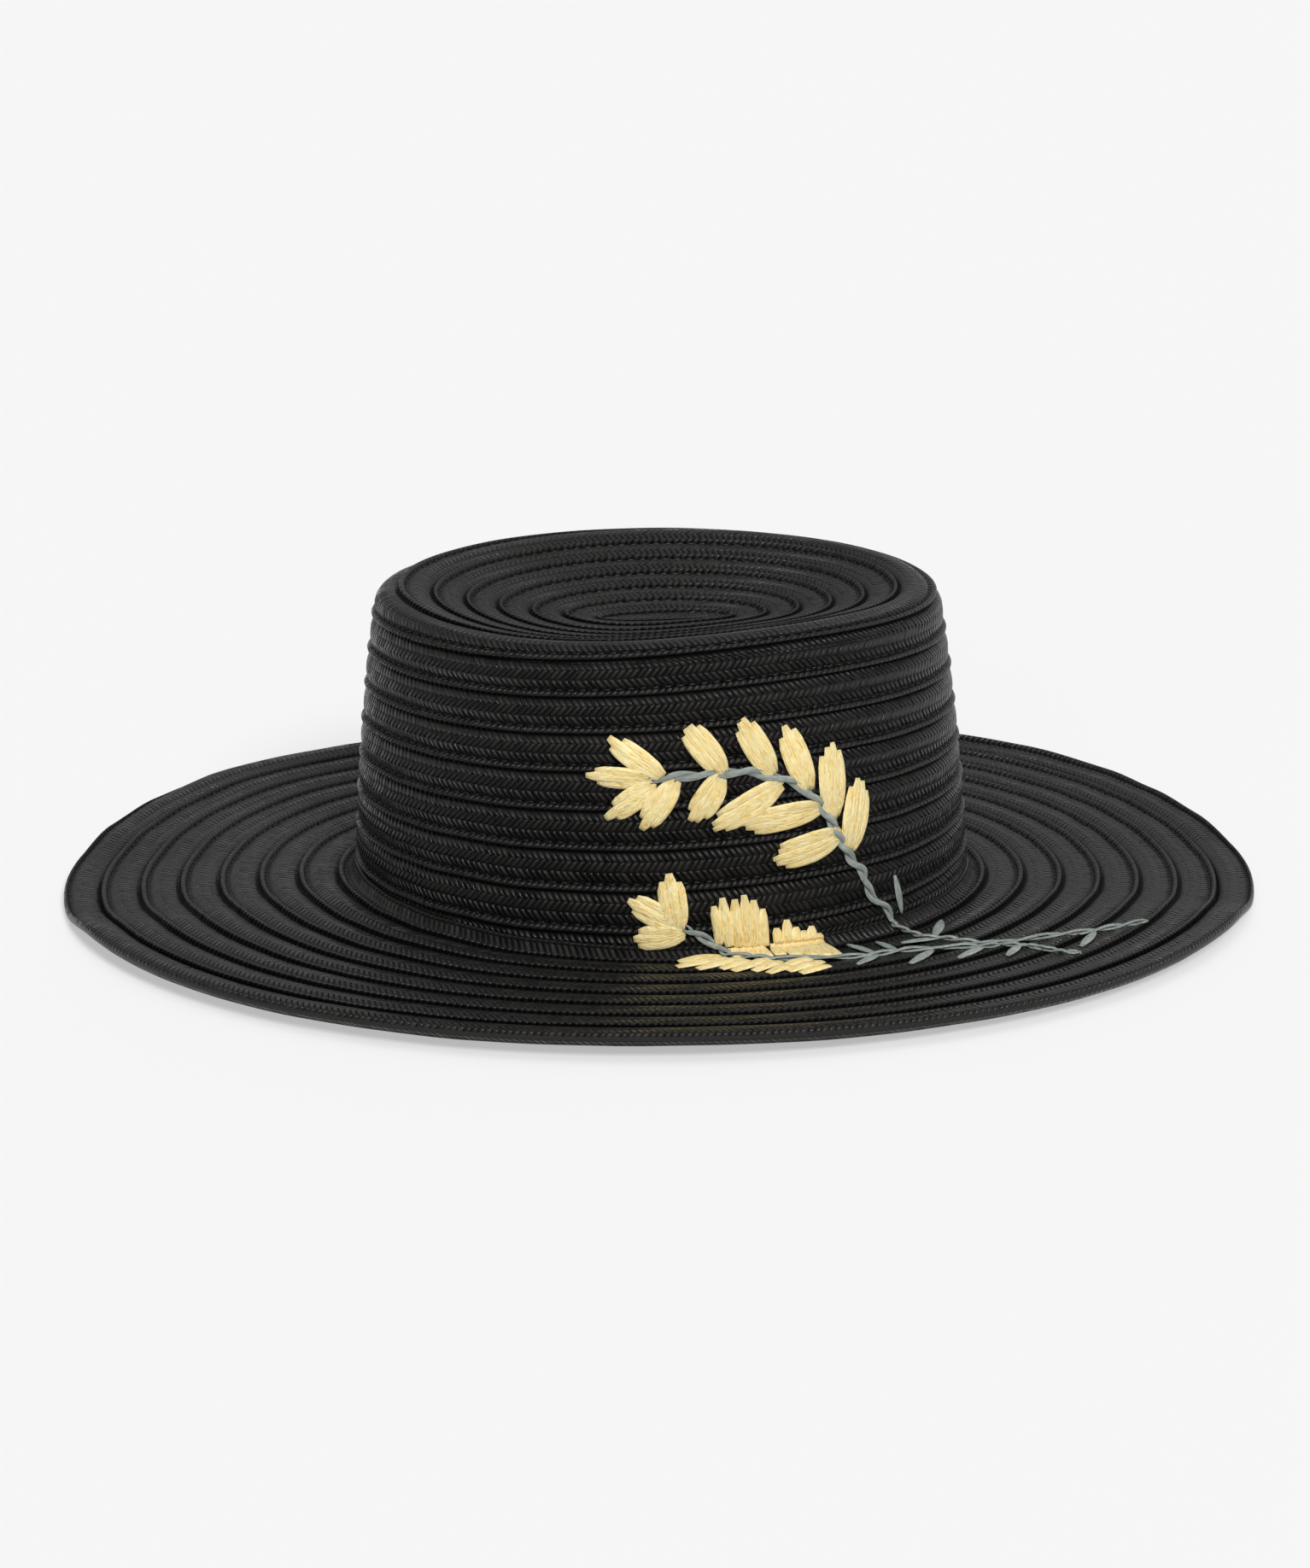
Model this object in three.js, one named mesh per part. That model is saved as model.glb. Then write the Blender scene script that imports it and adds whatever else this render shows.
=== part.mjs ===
// Straw boater hat: one long straw braid sewn in a spiral into a crown and a brim, with an embroidered sprig.
// Millimetres, +Z up. The hat stands on its brim at z = 0, with the middle of its outline at the origin.
// X runs along the long way of the head and -Y is the side with the sprig.
// A bearing is an angle round the hat in degrees: 0 at +X, -90 at the sprig side, 180 at -X.

import * as THREE from 'three';
import { mergeVertices } from 'three/addons/utils/BufferGeometryUtils.js';

// Crown
const headHalfLength = 101.5;
const headHalfWidth = 84.5;
const crownTopHalfLength = 93;
const crownTopHalfWidth = 78.6;
const crownHeight = 102.5;
const crownBulge = 1.2;
const rimRadius = 8.5;
const rimInnerAngle = 15;
const dishDepth = 12.5;
const stripHalfLength = 15;
const crownLean = 1;
const rimTilt = 1.9;
const wallTilt = 2.6;
const rimSkew = 5;
const crestDrop = 2.5;

// Brim
const brimWidth = 97;
const edgeRowWidth = 12;
const rootHeight = 2.5;
const brimLift = 6;
const edgeTurnUp = 1.5;
const footRadius = 4;
const headOffset = 1;

// Straw
const strawThickness = 1.3;
const lapRise = 1.1;
const tipRowPitch = 10.85;
const sideRowPitch = 12.6;
const brimRowPitch = 13;
const firstBrimRow = 7;
const topSeamDrop = 4;
const clearance = 0.3;

// Embroidery
const leafWidest = 8;
const leafThickness = 1.2;
const stemWidth = 2.6;
const stemThickness = 1.3;
const stitchLift = 0.3;
const stemLift = 0;

// Fineness of the solids
const columns = 48;
const stepWidth = 0.03;
const coarseParts = [0, 0.5, 1 - stepWidth];
const fineParts = [0, 0.3, 0.64, 1 - stepWidth];
const leafStations = 5;

const FULL_TURN = 2 * Math.PI;
const radians = (degrees) => THREE.MathUtils.degToRad(degrees);
const mix = (a, b, t) => a + (b - a) * t;
const clamp = (x, low, high) => Math.min(high, Math.max(low, x));
const smooth = (t) => THREE.MathUtils.smoothstep(t, 0, 1);

// Height of the brim round the hat: root is a share of rootHeight, lift a share of brimLift.
// The brim touches what it rests on at both ends of its length and turns up a little in between.
const brimShape = [
  { bearing: -180, root: 3, lift: 0 },
  { bearing: -172, root: 2.9, lift: 0 },
  { bearing: -160, root: 2.6, lift: 0.7 },
  { bearing: -148, root: 2.1, lift: 0.77 },
  { bearing: -135, root: 1.6, lift: 0.77 },
  { bearing: -115, root: 0.95, lift: 0.87 },
  { bearing: -90, root: 0.6, lift: 0.98 },
  { bearing: -65, root: 0.74, lift: 0.85 },
  { bearing: -45, root: 0.95, lift: 0.73 },
  { bearing: -28, root: 1.4, lift: 0.73 },
  { bearing: -18, root: 1.7, lift: 0.63 },
  { bearing: -8, root: 1.9, lift: 0 },
  { bearing: 0, root: 1.95, lift: 0 },
  { bearing: 8, root: 1.95, lift: 0 },
  { bearing: 18, root: 1.95, lift: 0.3 },
  { bearing: 26, root: 1.9, lift: 0.55 },
  { bearing: 33, root: 1.85, lift: 0.76 },
  { bearing: 45, root: 1.7, lift: 1 },
  { bearing: 58, root: 1.5, lift: 1.05 },
  { bearing: 90, root: 1.3, lift: 0.83 },
  { bearing: 127, root: 1.5, lift: 0.72 },
  { bearing: 144, root: 1.9, lift: 0.9 },
  { bearing: 154, root: 2.3, lift: 0.66 },
  { bearing: 163, root: 2.7, lift: 0.38 },
  { bearing: 172, root: 2.9, lift: 0 },
];

// Value of one column of brimShape at any bearing, eased between its rows.
function brimColumn(name, theta) {
  const bearing = THREE.MathUtils.euclideanModulo(THREE.MathUtils.radToDeg(theta) + 180, 360) - 180;
  let before = brimShape[brimShape.length - 1];
  let after = brimShape[0];
  for (const row of brimShape) {
    if (row.bearing <= bearing) before = row;
  }
  after = brimShape[(brimShape.indexOf(before) + 1) % brimShape.length];
  const span = THREE.MathUtils.euclideanModulo(after.bearing - before.bearing, 360);
  const share = THREE.MathUtils.euclideanModulo(bearing - before.bearing, 360) / span;
  return mix(before[name], after[name], smooth(share));
}

const rootZ = (theta) => rootHeight * brimColumn('root', theta);
const edgeZ = (theta) => 2 * strawThickness + brimLift * brimColumn('lift', theta);
const crestZ = rootHeight + crownHeight;
const rimZ = crestZ - rimRadius;

// Seams run round clockwise from above, one row outward or downward in each turn.
// On the crown they descend evenly, and on the brim they step out round the back half.
const evenTurn = (turn) => turn;
const backHalfTurn = (turn) => smooth(2 * turn - 1);

// A point on an oval, moved outward along the oval's own normal.
function ovalPoint(halfLength, halfWidth, theta, outward, centreX) {
  const x = halfLength * Math.cos(theta);
  const y = halfWidth * Math.sin(theta);
  const nx = Math.cos(theta) * halfWidth;
  const ny = Math.sin(theta) * halfLength;
  const length = Math.hypot(nx, ny);
  return { x: centreX + x + (outward * nx) / length, y: y + (outward * ny) / length };
}

// The crown's upper part sits a little askew on its foot, and at the front it is higher on the right.
function skewShift(theta, share) {
  const front = (1 - Math.sin(theta)) / 2;
  return rimSkew * share * front * Math.sin(theta) ** 2 * Math.cos(theta);
}

function rimShift(theta, share) {
  const tilt = rimTilt * share + wallTilt * 4 * share * (1 - share);
  return skewShift(theta, share) - tilt * Math.sin(theta);
}

// Lowest edge of the crown's wall, above the crown's foot.
const wallFoot = (theta) => rootZ(theta) - rootHeight + footRadius + clearance;

// The wall is askew by nothing at its lowest edge and by all of the shift at the rim.
function wallShift(theta, up) {
  const foot = wallFoot(theta);
  return rimShift(theta, clamp((up - foot) / (crownHeight - rimRadius - foot), 0, 1));
}

// Wall of the crown at a height above the crown's foot, moved outward by height.
function wallPoint(theta, up, height) {
  const share = clamp(up / (crownHeight - rimRadius), 0, 1);
  const bulge = crownBulge * 4 * share * (1 - share);
  const halfLength = mix(headHalfLength, crownTopHalfLength, share) + bulge;
  const halfWidth = mix(headHalfWidth, crownTopHalfWidth, share) + bulge;
  const centreX = headOffset - crownLean * share;
  const { x, y } = ovalPoint(halfLength, halfWidth, theta, height, centreX);
  return new THREE.Vector3(x, y, rootHeight + up + wallShift(theta, up));
}

// Brim at a distance out from the crown's foot, raised by height.
// Near the foot it curves up into the wall, and its edge row turns up a little.
function brimPoint(theta, out, height) {
  const root = rootZ(theta);
  const share = clamp(out / (brimWidth - edgeRowWidth), 0, 1);
  const centreX = headOffset * (1 - share);
  const turnUp = edgeTurnUp * brimColumn('lift', theta);
  const turned = turnUp * clamp((out - brimWidth + edgeRowWidth) / edgeRowWidth, 0, 1);
  const flatZ = mix(root, edgeZ(theta) - turnUp, share) + turned;
  if (out >= footRadius) {
    const { x, y } = ovalPoint(headHalfLength, headHalfWidth, theta, out, centreX);
    return new THREE.Vector3(x, y, flatZ + height);
  }
  const angle = (Math.PI / 2) * (1 - clamp(out / footRadius, 0, 1));
  const radius = footRadius - height;
  const outward = footRadius - radius * Math.sin(angle);
  const { x, y } = ovalPoint(headHalfLength, headHalfWidth, theta, outward, centreX);
  return new THREE.Vector3(x, y, flatZ + footRadius - radius * Math.cos(angle));
}

// Wall rows, counted downward from the seam that crosses the rim.
const sideFirst = (crownHeight - topSeamDrop - (crownHeight - rimRadius)) / sideRowPitch;
const sideLast = (crownHeight - topSeamDrop - footRadius) / sideRowPitch;

// The dished top, in rows counted outward from the middle, then the rounded rim down to the wall.
const dishRows = (crownTopHalfWidth - rimRadius * (1 + Math.sin(radians(rimInnerAngle)))) / tipRowPitch;
const rimArc = radians(90 + rimInnerAngle);
const rimRows = Math.ceil(dishRows) + sideFirst - dishRows;
const tipRows = dishRows + rimRows;

// Shift of the top: its front is a little lower, and over the rim that passes into the wall's own shift.
function crestShift(theta, share, over) {
  const drop = crestDrop * share * (1 - over) * ((1 - Math.sin(theta)) / 2);
  return skewShift(theta, share) - drop - rimTilt * over * Math.sin(theta);
}

function tipPoint(theta, row, height) {
  const flatInset = rimRadius * (1 + Math.sin(radians(rimInnerAngle)));
  const flatZ = rimZ + rimRadius * Math.cos(radians(rimInnerAngle));
  const centreX = headOffset - crownLean;
  if (row <= dishRows) {
    const share = clamp(row / dishRows, 0, 1);
    const halfLength = mix(stripHalfLength, crownTopHalfLength - flatInset, share);
    const halfWidth = (crownTopHalfWidth - flatInset) * share;
    const z = flatZ - dishDepth * (1 - Math.pow(share, 1.5));
    const x = centreX + halfLength * Math.cos(theta);
    const y = halfWidth * Math.sin(theta);
    const rise = height > 0 ? height * Math.min(1, row) : height;
    return new THREE.Vector3(x, y, z + rise + crestShift(theta, share, 0));
  }
  const angle = -radians(rimInnerAngle) + (rimArc * (row - dishRows)) / rimRows;
  const outward = (rimRadius + height) * Math.sin(angle) - rimRadius;
  const { x, y } = ovalPoint(crownTopHalfLength, crownTopHalfWidth, theta, outward, centreX);
  const z = rimZ + (rimRadius + height) * Math.cos(angle);
  return new THREE.Vector3(x, y, z + crestShift(theta, 1, smooth((row - dishRows) / rimRows)));
}

function sidePoint(theta, row, height) {
  const share = (row - sideFirst) / (sideLast - sideFirst);
  return wallPoint(theta, mix(crownHeight - rimRadius - clearance, wallFoot(theta), share), height);
}

const brimFirst = 1 - firstBrimRow / brimRowPitch;
const brimLast = brimFirst + (brimWidth - edgeRowWidth) / brimRowPitch;
const edgeLast = brimFirst + brimWidth / brimRowPitch;

function brimRowPoint(theta, row, height) {
  return brimPoint(theta, (row - brimFirst) * brimRowPitch, height);
}

// A closed solid from a list of vertices and triangles, with its faces pointing outward.
function solid(points, triangles) {
  const positions = points.flatMap((p) => [p.x, p.y, p.z]);
  let geometry = new THREE.BufferGeometry();
  geometry.setAttribute('position', new THREE.Float32BufferAttribute(positions, 3));
  geometry.setIndex(triangles.flat());
  geometry = mergeVertices(geometry, 1e-3);
  const index = geometry.getIndex().array;
  const at = geometry.getAttribute('position');
  const corners = [new THREE.Vector3(), new THREE.Vector3(), new THREE.Vector3()];
  const kept = [];
  let volume = 0;
  for (let i = 0; i < index.length; i += 3) {
    const [a, b, c] = [index[i], index[i + 1], index[i + 2]];
    if (a === b || b === c || c === a) continue;
    kept.push([a, b, c]);
    [a, b, c].forEach((vertex, k) => corners[k].fromBufferAttribute(at, vertex));
    volume += corners[0].dot(corners[1].cross(corners[2]));
  }
  geometry.setIndex(kept.flatMap(([a, b, c]) => (volume > 0 ? [a, b, c] : [a, c, b])));
  geometry.computeVertexNormals();
  return geometry;
}

// Two triangles for each cell between neighbouring columns of vertices.
function gridTriangles(first, rows, count, triangles) {
  for (let i = 0; i < count; i += 1) {
    for (let j = 0; j + 1 < rows; j += 1) {
      const a = first + i * rows + j;
      const b = a + rows;
      triangles.push([a, a + 1, b + 1], [a, b + 1, b]);
    }
  }
}

// A sheet of braid rows sewn like shingles: each row rises to its lapping edge and drops on to the next row.
// place(theta, row, height) gives the sheet's points; rows are cut off at first and last.
// With closedMiddle the sheet starts at a line in its middle, where its two sides meet.
function braidedSheet({ first, last, place, turnShift, thickness, rowParts, underRows, closedMiddle }) {
  const rowHeight = (row, shift) => {
    const part = row - shift - Math.floor(row - shift);
    return lapRise * Math.sin((Math.PI / 2) * Math.min(1, part * 1.15));
  };
  const points = [];
  const triangles = [];
  const start = Math.floor(first) - 1;
  const end = Math.ceil(last);
  const topRows = (end - start + 1) * rowParts.length;
  for (let i = 0; i <= columns; i += 1) {
    const theta = (-FULL_TURN * (i % columns)) / columns;
    const shift = turnShift(i / columns);
    for (let row = start; row <= end; row += 1) {
      for (const part of rowParts) {
        const at = clamp(row + part + shift, first, last);
        const cut = at === first || at === last;
        const height = cut ? rowHeight(at, shift + stepWidth / 2) : rowHeight(at + 1e-9, shift);
        points.push(place(theta, at, height));
      }
    }
  }
  gridTriangles(0, topRows, columns, triangles);
  const underFirst = points.length;
  const perColumn = underRows + 1;
  for (let i = 0; i <= columns; i += 1) {
    const theta = (-FULL_TURN * (i % columns)) / columns;
    for (let j = underRows; j >= 0; j -= 1) {
      points.push(place(theta, mix(first, last, j / underRows), -thickness));
    }
  }
  gridTriangles(underFirst, perColumn, columns, triangles);
  for (let i = 0; i < columns; i += 1) {
    const top = i * topRows;
    const nextTop = top + topRows;
    const under = underFirst + i * perColumn;
    const nextUnder = under + perColumn;
    const outerTop = top + topRows - 1;
    const outerNext = nextTop + topRows - 1;
    triangles.push([outerTop, under, nextUnder], [outerTop, nextUnder, outerNext]);
    if (closedMiddle) continue;
    triangles.push([top, nextTop, nextUnder + underRows], [top, nextUnder + underRows, under + underRows]);
  }
  return solid(points, triangles);
}

// Outside of the hat for the embroidery.
// A rise is a share of crownHeight up the wall, or a share of brimWidth out along the brim if negative.
function surfacePoint(bearing, rise, height) {
  const theta = radians(bearing);
  const reach = rise * (rise > 0 ? crownHeight : brimWidth);
  if (reach <= -footRadius) return brimPoint(theta, -reach, height);
  if (reach < footRadius) return brimPoint(theta, (footRadius - reach) / 2, height);
  const up = rootZ(theta) - rootHeight + reach;
  return wallPoint(theta, up - wallShift(theta, up), height);
}

// A flat satin stitch or bundle of stitches laid on the hat along a path, with a rounded back.
function stitchSolid(path, widthAt, thickness, lift) {
  const points = [];
  const triangles = [];
  const section = [
    { across: -0.5, height: 0.25 },
    { across: -0.5, height: 0 },
    { across: 0.5, height: 0 },
    { across: 0.5, height: 0.25 },
    { across: 0, height: 1 },
  ];
  const size = section.length;
  const base = lapRise + clearance + stitchLift + lift;
  path.forEach(({ bearing, rise }, i) => {
    const here = surfacePoint(bearing, rise, base);
    const before = path[Math.max(0, i - 1)];
    const after = path[Math.min(path.length - 1, i + 1)];
    const along = surfacePoint(after.bearing, after.rise, base)
      .sub(surfacePoint(before.bearing, before.rise, base))
      .normalize();
    const up = surfacePoint(bearing, rise, base + 1).sub(here).normalize();
    const side = new THREE.Vector3().crossVectors(along, up).normalize();
    const width = widthAt(i / (path.length - 1));
    for (const { across, height } of section) {
      points.push(here.clone().addScaledVector(side, across * width).addScaledVector(up, height * thickness));
    }
  });
  for (let i = 0; i + 1 < path.length; i += 1) {
    for (let j = 0; j < size; j += 1) {
      const a = i * size + j;
      const b = i * size + ((j + 1) % size);
      triangles.push([a, b, b + size], [a, b + size, a + size]);
    }
  }
  const far = (path.length - 1) * size;
  for (let j = 1; j + 1 < size; j += 1) {
    triangles.push([0, j + 1, j], [far, far + j, far + j + 1]);
  }
  return solid(points, triangles);
}

// Leaves of the sprig: where each is rooted at the stem, where its tip is,
// and its width as a share of leafWidest.
const upperLeaves = [
  { rootBearing: -91, rootRise: 0.619, tipBearing: -99.7, tipRise: 0.706, width: 0.75 },
  { rootBearing: -94.6, rootRise: 0.583, tipBearing: -104.5, tipRise: 0.583, width: 0.68 },
  { rootBearing: -93.4, rootRise: 0.54, tipBearing: -100.1, tipRise: 0.451, width: 0.7 },
  { rootBearing: -89.2, rootRise: 0.552, tipBearing: -94.2, tipRise: 0.414, width: 0.7 },
  { rootBearing: -79.8, rootRise: 0.626, tipBearing: -85.1, tipRise: 0.759, width: 0.95 },
  { rootBearing: -80.7, rootRise: 0.55, tipBearing: -84.7, tipRise: 0.445, width: 0.82 },
  { rootBearing: -70.4, rootRise: 0.611, tipBearing: -74.7, tipRise: 0.755, width: 0.93 },
  { rootBearing: -70.2, rootRise: 0.531, tipBearing: -79.4, tipRise: 0.425, width: 0.8 },
  { rootBearing: -62.6, rootRise: 0.566, tipBearing: -66.2, tipRise: 0.73, width: 0.82 },
  { rootBearing: -62.6, rootRise: 0.443, tipBearing: -73.9, tipRise: 0.416, width: 0.7 },
  { rootBearing: -56.6, rootRise: 0.478, tipBearing: -56.6, tipRise: 0.65, width: 1.05 },
  { rootBearing: -58.4, rootRise: 0.351, tipBearing: -68.3, tipRise: 0.316, width: 0.95 },
  { rootBearing: -52, rootRise: 0.351, tipBearing: -49.2, tipRise: 0.521, width: 0.97 },
];

const lowerLeaves = [
  { rootBearing: -87.8, rootRise: 0.133, tipBearing: -89.4, tipRise: 0.293, width: 0.9 },
  { rootBearing: -90.6, rootRise: 0.127, tipBearing: -97.1, tipRise: 0.197, width: 0.75 },
  { rootBearing: -89, rootRise: 0.082, tipBearing: -96.4, tipRise: 0.064, width: 0.68 },
  { rootBearing: -78.7, rootRise: 0.062, tipBearing: -79, tipRise: 0.185, width: 0.9 },
  { rootBearing: -74, rootRise: 0.033, tipBearing: -74.2, tipRise: 0.185, width: 0.9 },
  { rootBearing: -67.8, rootRise: -0.093, tipBearing: -67.8, tipRise: 0.098, width: 0.9 },
  { rootBearing: -63.2, rootRise: -0.139, tipBearing: -63, tipRise: 0.068, width: 0.88 },
  { rootBearing: -81, rootRise: -0.072, tipBearing: -87.6, tipRise: -0.151, width: 0.88 },
  { rootBearing: -77.4, rootRise: -0.134, tipBearing: -81.6, tipRise: -0.206, width: 0.75 },
  { rootBearing: -72.2, rootRise: -0.192, tipBearing: -77, tipRise: -0.278, width: 0.88 },
  { rootBearing: -66.2, rootRise: -0.245, tipBearing: -71.6, tipRise: -0.315, width: 0.88 },
];

// A leaf is widest past its middle and its stitches end unevenly, so its ends stay blunt.
const leafWidth = [0.62, 0.92, 1, 0.95, 0.6];

function leaf({ rootBearing, rootRise, tipBearing, tipRise, width }) {
  const path = [];
  for (let i = 0; i < leafStations; i += 1) {
    const share = i / (leafStations - 1);
    path.push({ bearing: mix(rootBearing, tipBearing, share), rise: mix(rootRise, tipRise, share) });
  }
  const widthAt = (share) => leafWidest * width * leafWidth[Math.round(share * (leafStations - 1))];
  return stitchSolid(path, widthAt, leafThickness, 0);
}

// Stems: points chosen along each line of twisted straw.
const upperStem = [
  { bearing: -92.4, rise: 0.58 },
  { bearing: -87, rise: 0.589 },
  { bearing: -80, rise: 0.591 },
  { bearing: -74, rise: 0.585 },
  { bearing: -68.5, rise: 0.566 },
  { bearing: -64, rise: 0.529 },
  { bearing: -60.5, rise: 0.476 },
  { bearing: -57.8, rise: 0.406 },
  { bearing: -56, rise: 0.341 },
  { bearing: -54, rise: 0.28 },
  { bearing: -51.4, rise: 0.224 },
  { bearing: -50.2, rise: 0.176 },
  { bearing: -48.8, rise: 0.127 },
  { bearing: -45.8, rise: 0.084 },
  { bearing: -44, rise: 0.023 },
  { bearing: -44.4, rise: -0.062 },
  { bearing: -45.2, rise: -0.144 },
  { bearing: -44.8, rise: -0.216 },
  { bearing: -43.4, rise: -0.268 },
  { bearing: -42.8, rise: -0.33 },
  { bearing: -41.6, rise: -0.398 },
  { bearing: -40, rise: -0.443 },
  { bearing: -37.6, rise: -0.48 },
  { bearing: -35, rise: -0.515 },
  { bearing: -32.6, rise: -0.563 },
  { bearing: -30.4, rise: -0.612 },
  { bearing: -28, rise: -0.656 },
  { bearing: -25.6, rise: -0.701 },
  { bearing: -23.8, rise: -0.736 },
];

const lowerStem = [
  { bearing: -86.4, rise: 0.103 },
  { bearing: -84, rise: 0.078 },
  { bearing: -81.6, rise: 0.053 },
  { bearing: -79.4, rise: -0.015 },
  { bearing: -76.6, rise: -0.076 },
  { bearing: -73.6, rise: -0.128 },
  { bearing: -70.2, rise: -0.159 },
  { bearing: -66.6, rise: -0.181 },
  { bearing: -62.4, rise: -0.221 },
  { bearing: -59, rise: -0.245 },
  { bearing: -55.8, rise: -0.258 },
  { bearing: -52.8, rise: -0.268 },
  { bearing: -49.6, rise: -0.303 },
  { bearing: -47.4, rise: -0.34 },
  { bearing: -45.4, rise: -0.381 },
];

const stemTail = [
  { bearing: -39.4, rise: -0.515 },
  { bearing: -39, rise: -0.567 },
  { bearing: -38.6, rise: -0.629 },
  { bearing: -37.8, rise: -0.722 },
];

function stem(path) {
  const widthAt = (share) => stemWidth * (1 - 0.4 * Math.pow(Math.abs(2 * share - 1), 6));
  return stitchSolid(path, widthAt, stemThickness, stemLift);
}

// Short single stitches beside the stems, their widths as shares of stemWidth.
const twigs = [
  { bearing: -42.8, rise: 0.173, endBearing: -41.4, endRise: 0.059, width: 0.77 },
  { bearing: -37, rise: -0.12, endBearing: -41.4, endRise: -0.179, width: 1.38 },
  { bearing: -49.6, rise: -0.196, endBearing: -47.2, endRise: -0.212, width: 1 },
  { bearing: -57.2, rise: -0.098, endBearing: -56.9, endRise: -0.212, width: 0.85 },
  { bearing: -52.5, rise: -0.134, endBearing: -53.3, endRise: -0.231, width: 0.77 },
  { bearing: -61.4, rise: -0.315, endBearing: -58.6, endRise: -0.282, width: 0.92 },
  { bearing: -55, rise: -0.402, endBearing: -50.6, endRise: -0.346, width: 1.15 },
  { bearing: -48.4, rise: -0.449, endBearing: -45.4, endRise: -0.437, width: 1.15 },
  { bearing: -43.4, rise: -0.548, endBearing: -40.9, endRise: -0.526, width: 1.15 },
  { bearing: -35.2, rise: -0.676, endBearing: -31.6, endRise: -0.658, width: 1.15 },
];

function twig({ bearing, rise, endBearing, endRise, width }) {
  const middle = { bearing: mix(bearing, endBearing, 0.5), rise: mix(rise, endRise, 0.5) };
  const path = [{ bearing, rise }, middle, { bearing: endBearing, rise: endRise }];
  return stitchSolid(path, () => stemWidth * width, stemThickness, 0);
}

const straw = () => new THREE.MeshStandardMaterial({ color: 0x2b2829, roughness: 0.55, metalness: 0 });
const raffia = () => new THREE.MeshStandardMaterial({ color: 0xe8cd82, roughness: 0.6, metalness: 0 });
const stemStraw = () => new THREE.MeshStandardMaterial({ color: 0x7d8a84, roughness: 0.65, metalness: 0 });

const hat = new THREE.Group();
const crown = new THREE.Group();
const sprig = new THREE.Group();

function add(group, name, geometry, material) {
  const mesh = new THREE.Mesh(geometry, material);
  mesh.name = name;
  group.add(mesh);
}

const sheets = [
  {
    name: 'crown_tip', group: crown, first: 0, last: tipRows,
    place: tipPoint, turnShift: evenTurn, thickness: strawThickness,
    rowParts: coarseParts, underRows: 9, closedMiddle: true,
  },
  {
    name: 'crown_side', group: crown, first: sideFirst, last: sideLast,
    place: sidePoint, turnShift: evenTurn, thickness: strawThickness,
    rowParts: coarseParts, underRows: 5,
  },
  {
    name: 'brim', group: hat, first: brimFirst, last: brimLast - clearance / brimRowPitch,
    place: brimRowPoint, turnShift: backHalfTurn, thickness: strawThickness,
    rowParts: fineParts, underRows: 7,
  },
  {
    name: 'brim_edge', group: hat, first: brimLast, last: edgeLast,
    place: brimRowPoint, turnShift: backHalfTurn, thickness: 2 * strawThickness,
    rowParts: coarseParts, underRows: 1,
  },
];
for (const { name, group, ...sheet } of sheets) {
  add(group, name, braidedSheet(sheet), straw());
}

add(sprig, 'upper_stem', stem(upperStem), stemStraw());
add(sprig, 'lower_stem', stem(lowerStem), stemStraw());
add(sprig, 'stem_tail', stem(stemTail), stemStraw());
upperLeaves.forEach((row, i) => add(sprig, `upper_leaf_${i + 1}`, leaf(row), raffia()));
lowerLeaves.forEach((row, i) => add(sprig, `lower_leaf_${i + 1}`, leaf(row), raffia()));
twigs.forEach((row, i) => add(sprig, `twig_${i + 1}`, twig(row), stemStraw()));
hat.add(crown, sprig);

export default hat;
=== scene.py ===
import math
import random

import bmesh
import bpy
import numpy as np
from mathutils import Matrix, Vector


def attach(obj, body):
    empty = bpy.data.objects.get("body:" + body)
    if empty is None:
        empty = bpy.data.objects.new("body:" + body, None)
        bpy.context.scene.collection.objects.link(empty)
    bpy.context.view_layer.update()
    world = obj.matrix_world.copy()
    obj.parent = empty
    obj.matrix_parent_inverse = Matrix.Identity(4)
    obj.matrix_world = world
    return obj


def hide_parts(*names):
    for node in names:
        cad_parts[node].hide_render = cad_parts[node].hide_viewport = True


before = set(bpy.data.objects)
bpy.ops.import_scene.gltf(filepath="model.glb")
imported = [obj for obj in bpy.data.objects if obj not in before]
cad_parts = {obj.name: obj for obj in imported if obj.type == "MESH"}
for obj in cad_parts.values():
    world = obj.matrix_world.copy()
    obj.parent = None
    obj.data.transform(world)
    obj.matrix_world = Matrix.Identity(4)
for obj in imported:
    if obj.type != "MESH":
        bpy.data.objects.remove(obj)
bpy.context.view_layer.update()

MM = 0.001
FULL_TURN = 2 * math.pi
SHORTEST_SIDE = 1e-7
WELD_DISTANCE = 2e-6

# Sizes of the hat in millimetres, as in the part's source.
HEAD_HALF_LENGTH = 101.5
HEAD_HALF_WIDTH = 84.5
CROWN_TOP_HALF_LENGTH = 93.0
CROWN_TOP_HALF_WIDTH = 78.6
CROWN_HEIGHT = 102.5
CROWN_BULGE = 1.2
RIM_RADIUS = 8.5
RIM_INNER_ANGLE = math.radians(15)
DISH_DEPTH = 12.5
STRIP_HALF_LENGTH = 15.0
CROWN_LEAN = 1.0
RIM_TILT = 1.9
WALL_TILT = 2.6
RIM_SKEW = 5.0
CREST_DROP = 2.5
BRIM_WIDTH = 97.0
EDGE_ROW_WIDTH = 12.0
ROOT_HEIGHT = 2.5
BRIM_LIFT = 6.0
EDGE_TURN_UP = 1.5
FOOT_RADIUS = 4.0
HEAD_OFFSET = 1.0
STRAW = 1.3
TIP_PITCH = 10.85
SIDE_PITCH = 12.6
BRIM_PITCH = 13.0
FIRST_BRIM_ROW = 7.0
TOP_SEAM_DROP = 4.0
CLEARANCE = 0.3
JOINT = 0.02

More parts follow.
